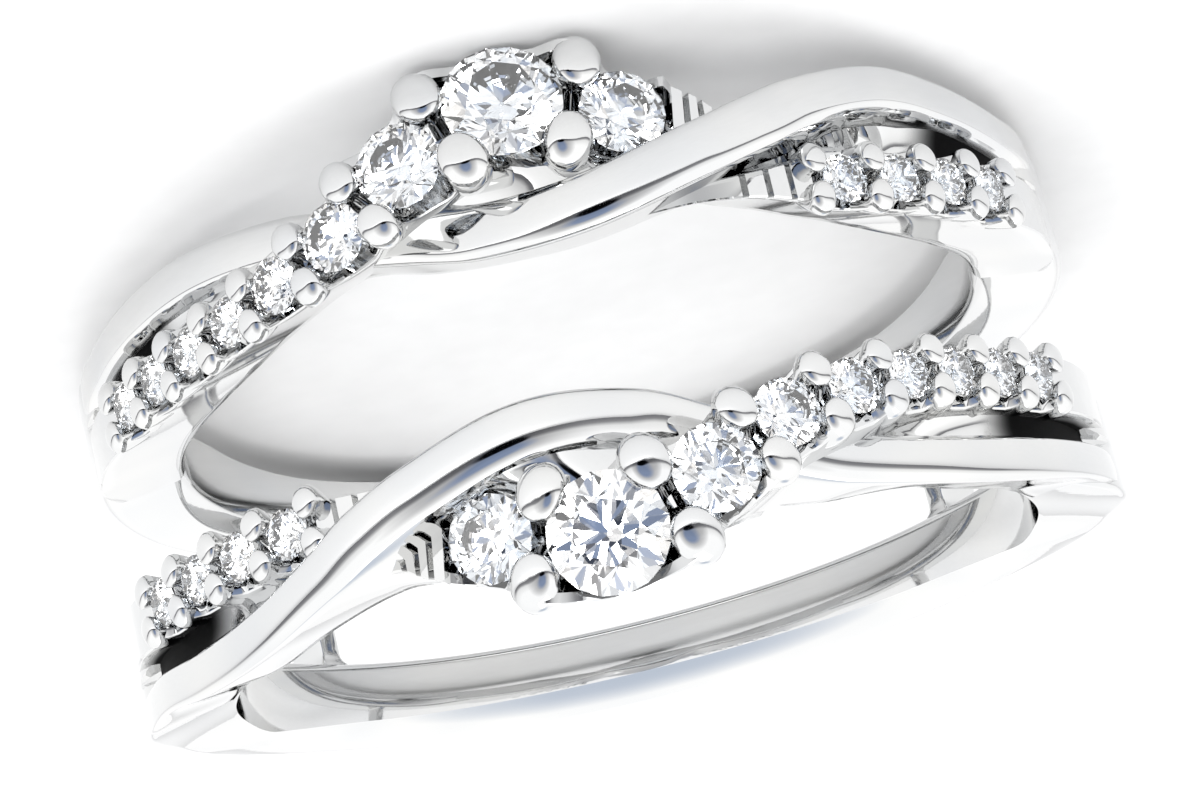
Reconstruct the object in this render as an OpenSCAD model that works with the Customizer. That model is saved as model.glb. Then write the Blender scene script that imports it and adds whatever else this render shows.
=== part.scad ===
// Ring guard enhancer: two bands, each a plain polished rail twisted with a diamond-set rail,
// joined by two short bridge bars so that another ring fits between them.
// It lies on its side as it rests: the finger axis is near +Z and the heads face -Y.
// The origin is the middle of the finger bore.

/* [Finger] */
// Diameter of the finger bore
bore_d = 17.3; // [15.3:0.1:19.5]

/* [Shank] */
// Radial thickness of the plain shank
shank_t = 1.9; // [1.6:0.05:2.3]
// Width of one shank along the finger, at the back of the finger
shank_w = 1.7; // [1.5:0.05:2]
// How much wider the shank grows on its outer side, where it splits into the rails
shank_flare = 0.45; // [0.3:0.05:0.6]
// Rounding of the shank's outer edges
shank_round = 0.45; // [0.3:0.05:0.6]
// Clear space between the two shanks, where the other ring sits
shank_gap = 2.9; // [2.4:0.1:3.6]
// Width of the bevel between the bore and the side that faces the other ring
inner_bevel = 0.25; // [0.15:0.05:0.35]
// Deepest reach of the crescent bevel between the bore and the outer side
crescent = 1.15; // [0.5:0.05:1.2]

/* [Rails] */
// How far the centre stone stands out sideways from the middle of its shank
head_offset = 1.94; // [1.5:0.05:2.2]
// Full height of the rails' rise above the outside of the shank
head_rise = 1.6; // [1.2:0.05:1.9]
// Width of the plain polished rail
plain_w = 0.8; // [0.65:0.05:1]
// Metal beside each stone
wall_margin = 0.14; // [0.1:0.02:0.2]
// Depth of the scoop that shows the side of a small stone
scoop_depth = 0.4; // [0.25:0.05:0.5]
// Width of a rail's foot at the bore
foot_w = 0.8; // [0.7:0.05:1]
// Depth of the cut steps where a diamond-set rail dives under the plain one
step_depth = 0.2; // [0.1:0.05:0.3]

/* [Stones] */
// Diameter of the centre stone
centre_d = 2.3; // [2:0.05:2.5]
// Diameter of the two stones beside the centre stone
side_d = 1.68; // [1.4:0.02:1.8]
// Diameter of the next stone down the shoulder
third_d = 1.34; // [1.1:0.02:1.5]
// Diameter of the fourth stone down the shoulder
fourth_d = 1.12; // [1:0.02:1.3]
// Diameter of the small stones
small_d = 1.0; // [0.85:0.05:1.1]
// Space between the edges of two neighbouring stones
stone_gap = 0.36; // [0.28:0.02:0.44]
// Clear space between a stone and its seat
seat_clear = 0.03; // [0.02:0.01:0.05]
// Angle of the stone nearest the crossing on the far shoulder
far_run_angle = 33.2; // [31:0.2:35]
// Outward lean of the centre stone
head_lean_angle = 9; // [0:1:14]

/* [Claws] */
// Width of a claw between two small stones
small_claw_d = 0.5; // [0.4:0.02:0.56]
// Width of a claw beside the centre stone
big_claw_d = 0.84; // [0.66:0.02:0.92]
// Height of a small claw above the stone's edge
small_claw_rise = 0.26; // [0.2:0.02:0.32]
// Height of a big claw above the stone's edge
big_claw_rise = 0.48; // [0.38:0.02:0.56]

/* [Bridges] */
// Angle of each bridge bar from the head
bridge_angle = 129; // [115:1:140]
// Width of a bridge bar round the ring
bridge_w = 0.6; // [0.5:0.05:0.9]
// Thickness of a bridge bar along the radius
bridge_t = 1.1; // [0.9:0.05:1.4]

/* [Hidden] */
bore_r = bore_d / 2;
shank_r = bore_r + shank_t;
shank_mid = (shank_gap + shank_w) / 2;
// The rails and the shank are swept from inside the bore line, and the bore then trims their feet.
foot_r = bore_r - 0.3;
shank_foot_r = foot_r - 0.1;
head_foot_r = foot_r - 0.2;
far_foot_r = foot_r - 0.3;
web_foot_r = foot_r - 0.4;
// Angle between the sections of a rail, the angle at which the rails end inside the shank, and the
// angle from which the head's rail has no stones
RING_STEP_ANGLE = 8.4;
RAIL_END_ANGLE = 84;
TAIL_START_ANGLE = 66;
// Angle at which the shank splits into the rails, the angle over which its flare fades, and the
// number of sections of its sweep
SPLIT_ANGLE = 74;
SPLIT_FADE_ANGLE = 60;
SHANK_STEPS = 24;
// Angle at which the crescent bevel starts to grow, its least reach, its inset from the outer side
// at the bore, and its slope
CRESCENT_START_ANGLE = 105;
CRESCENT_LEAST = 0.1;
CRESCENT_INSET = 0.1;
CRESCENT_SLOPE = 0.32;
// Widest foot of a rail, as a multiple of the width of its top
FOOT_SPREAD = 1.5;
// Rise of the plain rail's dome, as a share of the rail's height
CREST_DOME = 0.05;
// How far a set rail's top lies below the stones' edges at a joint
RIDGE_DROP = 0.1;
// Cut steps on the far part of a set rail, the angle from one to the next, and half the angle of a
// step at its edges and along its floor
STEP_COUNT = 2;
STEP_PITCH_ANGLE = 2.6;
STEP_EDGE_ANGLE = 0.7;
STEP_FLOOR_ANGLE = 0.45;
// Angle from the centre stone at which the stones no longer lean outward
LEAN_FADE_ANGLE = 24;
// The web's first and last section, the angle between its sections, and how far it lies below the rails
WEB_START_ANGLE = -17;
WEB_END_ANGLE = 11;
WEB_STEP_ANGLE = 7;
WEB_DROP = 0.25;
// Sides and ovalness of a claw, and its distance from the line of stones as a share of the mean
// diameter of its two stones
CLAW_SIDES = 6;
CLAW_OVAL = 1.12;
CLAW_STAND = 0.47;
// Sides of the cones that are cut out for a stone, and the clear space beside the stone's pavilion as
// a multiple of that beside its edge
SEAT_SIDES = 9;
PAVILION_CLEAR = 1.7;
// Smoothness of the finger bore
BORE_FN = 128;

// Brilliant cut, as shares of the stone's diameter
TABLE_SHARE = 0.56;
STAR_SHARE = 0.76;
CROWN_SHARE = 0.15;
GIRDLE_SHARE = 0.03;
PAVILION_SHARE = 0.42;
MAIN_SHARE = 0.23;

// Columns of the route tables: the angle from the head, the crest's sweep to the outer side and the
// foot's, both as shares of head_offset from the middle of the shank, and the crest's rise above the
// shank as a share of head_rise. The set rail dives under the plain one, so it has a far part and a
// head part.
FAR_ROUTE = [
    [-90, -0.05, 0.02, -0.45],
    [-76, -0.17, 0.06, -0.04],
    [-62, -0.14, 0.00, 0.16],
    [-48, -0.13, 0.05, 0.20],
    [-33, -0.12, 0.27, 0.21],
    [-24, -0.11, 0.42, 0.20],
    [-17, -0.08, 0.52, 0.02],
    [-12, -0.05, 0.56, -0.30]
];
HEAD_ROUTE = [
    [-28, 0.48, 0.26, -0.30],
    [-23, 0.54, 0.32, 0.20],
    [-18, 0.56, 0.40, 0.46],
    [-10, 0.72, 0.49, 0.63],
    [0, 1.00, 0.58, 0.87],
    [10, 0.65, 0.62, 0.94],
    [18, 0.21, 0.60, 0.82],
    [26, 0.00, 0.55, 0.67],
    [34, -0.11, 0.40, 0.50],
    [41, -0.14, 0.26, 0.36],
    [48, -0.16, 0.15, 0.26],
    [56, -0.17, 0.07, 0.20],
    [65, -0.18, 0.04, 0.10],
    [76, -0.18, 0.03, -0.04],
    [90, -0.05, 0.02, -0.45]
];
PLAIN_ROUTE = [
    [-90, 0.30, 0.20, -0.45],
    [-76, 0.62, 0.32, -0.02],
    [-62, 0.65, 0.38, 0.13],
    [-50, 0.75, 0.44, 0.26],
    [-38, 0.75, 0.30, 0.55],
    [-27, 0.52, 0.29, 0.84],
    [-22, 0.33, 0.43, 0.96],
    [-16, 0.11, 0.37, 1.03],
    [-5, -0.19, 0.23, 0.97],
    [5, -0.13, 0.25, 0.59],
    [12, 0.12, 0.30, 0.29],
    [19, 0.33, 0.47, 0.18],
    [26, 0.55, 0.46, 0.17],
    [38, 0.68, 0.32, 0.22],
    [50, 0.66, 0.37, 0.16],
    [62, 0.59, 0.36, 0.07],
    [76, 0.50, 0.34, -0.03],
    [90, 0.30, 0.20, -0.45]
];

// Smooth curve through a table's rows, by cubic pieces whose slopes come from the neighbouring rows.
function slope_at(rows, col, i) =
    let (a = max(i - 1, 0), b = min(i + 1, len(rows) - 1))
    (rows[b][col] - rows[a][col]) / (rows[b][0] - rows[a][0]);
function piece_of(rows, x, i = 0) =
    (i >= len(rows) - 2 || x < rows[i + 1][0]) ? i : piece_of(rows, x, i + 1);
function curve_at(rows, col, x) =
    let (
        i = piece_of(rows, x),
        span = rows[i + 1][0] - rows[i][0],
        t = (x - rows[i][0]) / span,
        p = rows[i][col],
        q = rows[i + 1][col],
        m = slope_at(rows, col, i) * span,
        n = slope_at(rows, col, i + 1) * span
    )
    (2 * t ^ 3 - 3 * t ^ 2 + 1) * p + (t ^ 3 - 2 * t ^ 2 + t) * m
    + (3 * t ^ 2 - 2 * t ^ 3) * q + (t ^ 3 - t ^ 2) * n;
function mix(a, b, t) = a + (b - a) * t;
function unit(v) = v / norm(v);

// Places on the upper band, before the ring is laid down: angle from the head, radius and height.
function place(angle, r, z) = [-r * sin(angle), -r * cos(angle), z];
function outward(angle) = [-sin(angle), -cos(angle), 0];
function route_z(rows, angle) = shank_mid + head_offset * curve_at(rows, 1, angle);
function foot_z(rows, angle) = shank_mid + head_offset * curve_at(rows, 2, angle);
function route_r(rows, angle) = shank_r + head_rise * curve_at(rows, 3, angle);
function route_point(rows, angle) = place(angle, route_r(rows, angle), route_z(rows, angle));
function route_along(rows, angle) = unit(route_point(rows, angle + 0.5) - route_point(rows, angle - 0.5));
function route_across(rows, angle) = unit(cross(route_along(rows, angle), outward(angle)));
function foot_point(rows, angle) =
    let (r = rows == PLAIN_ROUTE ? foot_r : rows == HEAD_ROUTE ? head_foot_r : far_foot_r)
    place(angle, r, foot_z(rows, angle));

// Stones of the two runs, as [diameter, angle]. Each next stone is stepped along the route.
UP_RUN = [centre_d, side_d, third_d, fourth_d, small_d, small_d, small_d, small_d];
FAR_RUN = [small_d, small_d, small_d, small_d];
function step_angle(rows, angle, distance, sign) =
    let (metre = norm(route_point(rows, angle + sign) - route_point(rows, angle)))
    sign * distance / metre;
function next_angle(rows, angle, distance, sign) =
    angle + step_angle(rows, angle + step_angle(rows, angle, distance, sign) / 2, distance, sign);
function walk(rows, sizes, start, sign, i = 0) =
    i >= len(sizes) ? []
    : concat([[sizes[i], start]],
        i + 1 < len(sizes)
            ? walk(rows, sizes,
                next_angle(rows, start, (sizes[i] + sizes[i + 1]) / 2 + stone_gap, sign), sign, i + 1)
            : []);
up_stones = walk(HEAD_ROUTE, UP_RUN, 0, 1);
side_stone = walk(HEAD_ROUTE, [centre_d, side_d], 0, -1)[1];
far_stones = walk(FAR_ROUTE, FAR_RUN, -far_run_angle, -1);
function set_route(angle) = angle < (side_stone[1] - far_run_angle) / 2 ? FAR_ROUTE : HEAD_ROUTE;
// All stones of a band in order of angle
head_run = concat([side_stone], up_stones);
far_run = [for (i = [len(far_stones) - 1:-1:0]) far_stones[i]];
stones = concat(far_run, head_run);
function lean_at(angle) = head_lean_angle * max(0, 1 - abs(angle) / LEAN_FADE_ANGLE);
function stone_axis(angle) =
    let (
        along = route_along(set_route(angle), angle),
        across = route_across(set_route(angle), angle),
        up = unit(cross(across, along)),
        side = across[2] > 0 ? across : -across
    )
    unit(up * cos(lean_at(angle)) + side * sin(lean_at(angle)));

// Joints between stones of one run, and the two ends of the run: [angle, mean diameter]
function joints_of(rows, run) =
    let (n = len(run), half = stone_gap / 2)
    concat(
        [[next_angle(rows, run[0][1], run[0][0] / 2 + half, -1), run[0][0]]],
        [for (i = [0:n - 2])
            let (share = (run[i][0] + stone_gap) / (run[i][0] + run[i + 1][0] + 2 * stone_gap))
            [mix(run[i][1], run[i + 1][1], share), (run[i][0] + run[i + 1][0]) / 2]],
        [[next_angle(rows, run[n - 1][1], run[n - 1][0] / 2 + half, 1), run[n - 1][0]]]
    );
head_joints = joints_of(HEAD_ROUTE, head_run);
far_joints = joints_of(FAR_ROUTE, far_run);

// A closed sweep through rings of points, each ring listed the same way round
module sweep(rings) {
    n = len(rings[0]);
    last = len(rings) - 1;
    points = [for (ring = rings) each ring];
    sides = [for (i = [0:last - 1], j = [0:n - 1])
        let (k = (j + 1) % n)
        each [
            [i * n + j, i * n + k, (i + 1) * n + k],
            [i * n + j, (i + 1) * n + k, (i + 1) * n + j]
        ]];
    first_cap = [[for (j = [n - 1:-1:0]) j]];
    last_cap = [[for (j = [0:n - 1]) last * n + j]];
    polyhedron(points = points, faces = concat(sides, first_cap, last_cap));
}

// Section of a rail at one angle: shares [across, up] set between the foot and the crest
function rail_ring(rows, angle, shape, top_w, top_drop = 0) =
    let (
        foot = foot_point(rows, angle),
        top = route_point(rows, angle) - outward(angle) * top_drop,
        across = route_across(rows, angle)
    )
    [for (s = shape)
        let (width = mix(min(foot_w, FOOT_SPREAD * top_w), top_w, s[1]))
        mix(foot, top, s[1]) + across * (s[0] * width / 2)];

// Plain polished rail: flat sides and a low dome between two crisp edges
PLAIN_SHAPE = concat([[-1, 0], [1, 0]], [for (x = [1:-0.5:-1]) [x, 1 + CREST_DOME * (1 - x * x)]]);
module plain_rail() {
    sweep([for (a = [-RAIL_END_ANGLE:RING_STEP_ANGLE:RAIL_END_ANGLE])
        rail_ring(PLAIN_ROUTE, a, PLAIN_SHAPE, plain_w)]);
}

// Diamond-set rail: as wide as its stones, scooped beside each of them
SET_SHAPE = [[-1, 0], [1, 0], [1, 0.9], [0.9, 1], [-0.9, 1], [-1, 0.9]];
function set_width(d) = d + 2 * wall_margin;
// Rows of the width tables: the angle and the width of the rail's top there
far_widths = concat(
    [[-90, small_d]],
    [for (s = far_run) [s[1], set_width(s[0])]],
    [[-28, 0.85 * small_d], [-22, 0.5 * small_d], [-12, 0.3 * small_d]]
);
head_widths = concat(
    [[-28, 0.2 * small_d], [-21, 0.5 * small_d], [-18, 1.1 * small_d]],
    [for (s = head_run) [s[1], set_width(s[0])]],
    [[90, small_d]]
);
// The scoop beside a big stone is a little deeper.
function scoop_of(d) = scoop_depth * mix(1, d / small_d, 0.4);
// Stations along a run, as [angle, depth below the route]: a ridge at each joint, a scoop at each stone
function run_stations(run, joints) = [
    for (i = [0:len(run) - 1])
        let (a = joints[i][0], b = run[i][1], deep = scoop_of(run[i][0]))
        each [[a, RIDGE_DROP], [b, deep]]
];
// Stations of a cut step, centred at the angle
function cut_step(angle) = [
    [angle - STEP_EDGE_ANGLE, RIDGE_DROP],
    [angle - STEP_FLOOR_ANGLE, step_depth],
    [angle + STEP_FLOOR_ANGLE, step_depth],
    [angle + STEP_EDGE_ANGLE, RIDGE_DROP]
];
first_far = far_joints[0][0];
last_far = far_joints[len(far_joints) - 1][0];
first_head = head_joints[0][0];
last_head = head_joints[len(head_joints) - 1][0];
far_stations = concat(
    [for (a = [-RAIL_END_ANGLE:RING_STEP_ANGLE:first_far - 2]) [a, 0]],
    run_stations(far_run, far_joints),
    [[last_far, RIDGE_DROP]],
    [for (i = [1:STEP_COUNT]) each cut_step(last_far + i * STEP_PITCH_ANGLE)],
    [[-19, 0], [-16, 0], [-12, 0]]
);
head_stations = concat(
    [[-28, 0], [-24, 0]],
    cut_step(first_head - STEP_PITCH_ANGLE),
    run_stations(head_run, head_joints),
    [[last_head, RIDGE_DROP]],
    [for (a = [TAIL_START_ANGLE:RING_STEP_ANGLE:RAIL_END_ANGLE]) [a, 0]]
);
module set_rail() {
    sweep([for (s = far_stations)
        rail_ring(FAR_ROUTE, s[0], SET_SHAPE, curve_at(far_widths, 1, s[0]), s[1])]);
    sweep([for (s = head_stations)
        rail_ring(HEAD_ROUTE, s[0], SET_SHAPE, curve_at(head_widths, 1, s[0]), s[1])]);
}

// Web that fills the space between the plain rail and the head
module web() {
    sweep([for (a = [WEB_START_ANGLE:WEB_STEP_ANGLE:WEB_END_ANGLE])
        let (
            near_z = route_z(PLAIN_ROUTE, a) + plain_w / 4,
            near_r = route_r(PLAIN_ROUTE, a) - WEB_DROP,
            far_z = route_z(HEAD_ROUTE, a) - side_d / 2,
            far_r = route_r(HEAD_ROUTE, a) - WEB_DROP
        )
        [place(a, web_foot_r, foot_z(HEAD_ROUTE, a)), place(a, far_r, far_z), place(a, near_r, near_z),
            place(a, web_foot_r, foot_z(PLAIN_ROUTE, a))]]);
}

// Rounded claw that stands beside a joint and leans over the edges of its two stones
module claw(rows, angle, d, side) {
    share = (d - small_d) / (centre_d - small_d);
    wide = mix(small_claw_d, big_claw_d, share);
    rise = mix(small_claw_rise, big_claw_rise, share);
    up = stone_axis(angle);
    along = route_along(rows, angle);
    across = unit(cross(along, up));
    base = route_point(rows, angle) + across * side * CLAW_STAND * d;
    // Columns: height share between the root and the tip, width share, shift towards the stones. A big
    // claw has one row more.
    profile = share > 0.2
        ? [[-1.2, 0.9, 0], [0.35, 1, 0.02], [0.85, 0.72, 0.05], [1, 0.36, 0.07]]
        : [[-1.2, 0.9, 0], [0.5, 1, 0.02], [1, 0.5, 0.06]];
    // Each ring is turned half a side against the one below, which rounds the claw
    sweep([for (k = [0:len(profile) - 1])
        let (p = profile[k], middle = base + up * rise * p[0] - across * side * p[2] * d)
        [for (i = [0:CLAW_SIDES - 1])
            let (a = (i + k / 2) * 360 / CLAW_SIDES)
            middle + (along * cos(a) + across * sin(a) * CLAW_OVAL) * wide / 2 * p[1]]]);
}
module claws() {
    for (side = [-1, 1]) {
        for (i = [1:len(head_joints) - 1]) claw(HEAD_ROUTE, head_joints[i][0], head_joints[i][1], side);
        for (j = far_joints) claw(FAR_ROUTE, j[0], j[1], side);
    }
}

// Plain shank, from one shoulder round the back of the finger to the other
function from_head(angle) = 180 - abs(180 - angle);
function crescent_at(angle) =
    let (t = (from_head(angle) - CRESCENT_START_ANGLE) / (180 - CRESCENT_START_ANGLE))
    mix(CRESCENT_LEAST, crescent, sin(90 * max(0, min(1, t))));
// 1 where the shank splits into the rails, falling to 0 a third of the way round
function near_split(angle) =
    let (t = (from_head(angle) - SPLIT_ANGLE) / SPLIT_FADE_ANGLE)
    (1 + cos(180 * max(0, min(1, t)))) / 2;
function shank_ring(angle) =
    let (
        z0 = shank_gap / 2,
        z1 = z0 + shank_w + shank_flare * near_split(angle),
        bevel = inner_bevel * (1 + near_split(angle)),
        reach = crescent_at(angle),
        inside = bore_r - shank_foot_r,
        mid_r = shank_r - shank_round
    )
    [for (p = concat(
        [[shank_foot_r, z0 + bevel + inside]],
        [[shank_foot_r, z1 - CRESCENT_INSET - CRESCENT_SLOPE * (reach + inside)]],
        [[bore_r + reach, z1]],
        [for (a = [0:45:90]) [mid_r + shank_round * sin(a), z1 - shank_round * (1 - cos(a))]],
        [for (a = [0:45:90]) [mid_r + shank_round * cos(a), z0 + shank_round * (1 - sin(a))]],
        [[bore_r + bevel, z0]]
    )) place(angle, p[0], p[1])];
module shank() {
    sweep([for (i = [0:SHANK_STEPS]) shank_ring(mix(SPLIT_ANGLE, 360 - SPLIT_ANGLE, i / SHANK_STEPS))]);
}

// Brilliant cut: the table, crown, girdle and pavilion are flat facets between these points
function ring_points(n, r, z, turn = 0) =
    [for (i = [0:n - 1]) let (a = turn + i * 360 / n) [r * cos(a), r * sin(a), z]];
module brilliant(d) {
    r = d / 2;
    girdle = GIRDLE_SHARE * d;
    crown = CROWN_SHARE * d;
    pavilion = PAVILION_SHARE * d;
    half = 180 / 8;
    star_r = STAR_SHARE * r;
    main_r = MAIN_SHARE * r;
    // The star tips lie in the planes of the kites, and the lower tips in those of the pavilion mains
    star_z = girdle / 2 + crown * (1 - (star_r * cos(half) - TABLE_SHARE * r) / (r - TABLE_SHARE * r));
    main_z = -girdle / 2 - pavilion * (1 - main_r * cos(half) / r);
    points = concat(
        ring_points(8, TABLE_SHARE * r, girdle / 2 + crown),
        ring_points(8, star_r, star_z, half),
        ring_points(16, r, girdle / 2),
        ring_points(16, r, -girdle / 2),
        ring_points(8, main_r, main_z, half),
        [[0, 0, -girdle / 2 - pavilion]]
    );
    hull() polyhedron(points = points, faces = [[for (i = [0:len(points) - 1]) i]]);
}

// Room for a stone: a cone round the crown and the girdle, and one round the pavilion
module seat(d) {
    facet = cos(180 / SEAT_SIDES);
    room = d / 2 + seat_clear;
    girdle = GIRDLE_SHARE * d / 2;
    base = girdle + seat_clear;
    crown = CROWN_SHARE * d;
    crown_slope = (1 - TABLE_SHARE) * d / 2 / crown;
    // The crown's cone starts below the girdle, wide enough to clear the girdle's upper edge
    below = room + crown_slope * base;
    above = room - crown_slope * (crown - base);
    translate([0, 0, -base])
        cylinder(r1 = below / facet, r2 = above / facet, h = 2 * base + crown, $fn = SEAT_SIDES);
    // The pavilion's cone runs beside the stone's, and ends just below its point
    pavilion_slope = d / 2 / (PAVILION_SHARE * d);
    point = girdle + PAVILION_SHARE * d;
    beside = PAVILION_CLEAR * seat_clear;
    lowest = beside - pavilion_slope * seat_clear;
    highest = beside + pavilion_slope * point;
    translate([0, 0, -point - seat_clear])
        cylinder(r1 = lowest / facet, r2 = highest / facet, h = point + seat_clear, $fn = SEAT_SIDES);
}

// Carries its children from the table-up position to the stone's place on the upper band
module at_stone(stone) {
    angle = stone[1];
    up = stone_axis(angle);
    along = unit(cross(route_across(set_route(angle), angle), up));
    across = cross(up, along);
    at = route_point(set_route(angle), angle);
    multmatrix([
        [along[0], across[0], up[0], at[0]],
        [along[1], across[1], up[1], at[1]],
        [along[2], across[2], up[2], at[2]]
    ]) children();
}

// Metal of one band, before the bore is cut
module band_metal() {
    difference() {
        union() {
            shank();
            plain_rail();
            set_rail();
            web();
            claws();
        }
        for (s = stones) at_stone(s) seat(s[0]);
    }
}

// Bar between the two shanks
module bridge(side) {
    rotate([0, 0, side * bridge_angle]) translate([0, -(bore_r + shank_r) / 2, 0])
        cube([bridge_w, bridge_t, shank_gap + shank_w], center = true);
}

// The lower band is the upper one turned half round the axis that points to the head.
module both_bands() {
    children();
    rotate([0, 180, 0]) children();
}

// The ring lies on its lower head and on the back of its lower shank, so its axis leans a little.
head_reach = route_z(HEAD_ROUTE, 0) + centre_d / 2 + wall_margin;
shank_reach = shank_gap / 2 + shank_w;
rest_tilt = atan((head_reach - shank_reach) / (route_r(HEAD_ROUTE, 0) + shank_r - shank_round));
module lying() {
    rotate([-rest_tilt, 0, 0]) children();
}

// resize by nothing keeps the size and makes the metal one closed mesh, through which the bore is then
// cut as a true cylinder.
module ring_body() {
    color("gainsboro")
    lying() difference() {
        union() {
            resize([0, 0, 0]) union() {
                both_bands() band_metal();
                for (side = [-1, 1]) bridge(side);
            }
        }
        cylinder(r = bore_r, h = 4 * head_reach, center = true, $fn = BORE_FN);
    }
}
module upper_stone(i) {
    color("aliceblue") lying() at_stone(stones[i]) brilliant(stones[i][0]);
}
module lower_stone(i) {
    color("aliceblue") lying() rotate([0, 180, 0]) at_stone(stones[i]) brilliant(stones[i][0]);
}

STONE_COUNT = len(stones);
UPPER = [for (i = [0:STONE_COUNT - 1]) str("upper_stone_", i + 1)];
LOWER = [for (i = [0:STONE_COUNT - 1]) str("lower_stone_", i + 1)];
ring_body();
for (i = [0:STONE_COUNT - 1]) {
    upper_stone(i);
    lower_stone(i);
}
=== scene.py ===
# Ring guard enhancer for Blender: two bands of polished white gold, each a plain rail twisted with a
# rail of brilliants, joined by two bars. Lengths are in millimetres until a mesh is made, and angles
# round the ring are in degrees.
import math

import bmesh
import bpy
import numpy as np
from mathutils import Matrix, Vector


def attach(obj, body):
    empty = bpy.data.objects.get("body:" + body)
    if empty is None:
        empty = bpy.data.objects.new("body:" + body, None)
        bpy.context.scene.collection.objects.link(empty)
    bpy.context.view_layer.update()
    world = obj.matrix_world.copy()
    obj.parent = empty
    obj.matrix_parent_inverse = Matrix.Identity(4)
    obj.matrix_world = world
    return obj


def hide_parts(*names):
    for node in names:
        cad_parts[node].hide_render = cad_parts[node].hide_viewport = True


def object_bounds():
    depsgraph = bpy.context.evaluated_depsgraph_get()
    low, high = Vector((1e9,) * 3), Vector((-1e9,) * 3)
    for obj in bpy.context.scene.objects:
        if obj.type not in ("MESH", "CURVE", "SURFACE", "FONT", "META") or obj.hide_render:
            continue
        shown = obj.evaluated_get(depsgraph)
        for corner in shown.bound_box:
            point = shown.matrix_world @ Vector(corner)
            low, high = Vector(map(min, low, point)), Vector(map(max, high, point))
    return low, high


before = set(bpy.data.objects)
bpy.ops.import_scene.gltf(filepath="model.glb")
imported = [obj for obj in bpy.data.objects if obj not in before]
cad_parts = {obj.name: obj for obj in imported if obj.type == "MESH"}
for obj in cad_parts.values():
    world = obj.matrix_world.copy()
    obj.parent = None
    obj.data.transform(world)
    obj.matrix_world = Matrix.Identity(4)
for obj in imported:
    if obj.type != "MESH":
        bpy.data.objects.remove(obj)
cad_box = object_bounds()

MM = 0.001

# Finger and shank
BORE_R = 17.3 / 2
SHANK_T = 1.9
SHANK_R = BORE_R + SHANK_T
SHANK_W = 1.7
SHANK_GAP = 2.9
SHANK_MID = (SHANK_GAP + SHANK_W) / 2
SHANK_ROUND = 0.45
SPLIT_ANGLE = 74

# Rails: how far the heads stand out to the side and up, and the widths of crest and foot
HEAD_OFFSET = 1.94
HEAD_RISE = 1.6
PLAIN_W = 0.8
FOOT_W = 0.8
WALL_MARGIN = 0.14

# Stones
CENTRE_D, SIDE_D, THIRD_D, FOURTH_D, SMALL_D = 2.3, 1.68, 1.34, 1.12, 1.0
TABLE_SHARE, CROWN_SHARE, GIRDLE_SHARE, PAVILION_SHARE = 0.56, 0.15, 0.03, 0.42
STONE_GAP = 0.36
SEAT_CLEAR = 0.03
FAR_RUN_START = 33.2
HEAD_LEAN, HEAD_LEAN_END = 9, 24

# Columns: the angle from the head, the crest's sweep to the outer side and the foot's, both as shares
# of HEAD_OFFSET from the middle of the shank, and the crest's rise as a share of HEAD_RISE
FAR_ROUTE = [
    (-90, -0.05, 0.02, -0.45), (-76, -0.17, 0.06, -0.04), (-62, -0.14, 0.00, 0.16),
    (-48, -0.13, 0.05, 0.20), (-33, -0.12, 0.27, 0.21), (-24, -0.11, 0.42, 0.20),
    (-17, -0.08, 0.52, 0.02), (-12, -0.05, 0.56, -0.30),
]
HEAD_ROUTE = [
    (-28, 0.48, 0.26, -0.30), (-23, 0.54, 0.32, 0.20), (-18, 0.56, 0.40, 0.46),
    (-10, 0.72, 0.49, 0.63), (0, 1.00, 0.58, 0.87), (10, 0.65, 0.62, 0.94),
    (18, 0.21, 0.60, 0.82), (26, 0.00, 0.55, 0.67), (34, -0.11, 0.40, 0.50),
    (41, -0.14, 0.26, 0.36), (48, -0.16, 0.15, 0.26), (56, -0.17, 0.07, 0.20),
    (65, -0.18, 0.04, 0.10), (76, -0.18, 0.03, -0.04), (90, -0.05, 0.02, -0.45),
]
PLAIN_ROUTE = [
    (-90, 0.30, 0.20, -0.45), (-76, 0.62, 0.32, -0.02), (-62, 0.65, 0.38, 0.13),
    (-50, 0.75, 0.44, 0.26), (-38, 0.75, 0.30, 0.55), (-27, 0.52, 0.29, 0.84),
    (-22, 0.33, 0.43, 0.96), (-16, 0.11, 0.37, 1.03), (-5, -0.19, 0.23, 0.97),
    (5, -0.13, 0.25, 0.59), (12, 0.12, 0.30, 0.29), (19, 0.33, 0.47, 0.18),
    (26, 0.55, 0.46, 0.17), (38, 0.68, 0.32, 0.22), (50, 0.66, 0.37, 0.16),
    (62, 0.59, 0.36, 0.07), (76, 0.50, 0.34, -0.03), (90, 0.30, 0.20, -0.45),
]


# Small sums
def mix(a, b, t):
    return a + (b - a) * t


def unit(v):
    return v / np.linalg.norm(v)


def share_of(x, start, end):
    """How far x has come from start to end, kept from 0 to 1."""
    return max(0, min(1, (x - start) / (end - start)))


def smoothstep(t):
    t = max(0.0, min(1.0, t))
    return t * t * (3 - 2 * t)


def eased(x, start, end):
    """As share_of, with a soft start and end."""
    return smoothstep((x - start) / (end - start))


def angles(start, end, step):
    count = max(1, round(abs(end - start) / step))
    return [mix(start, end, i / count) for i in range(count + 1)]


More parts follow.
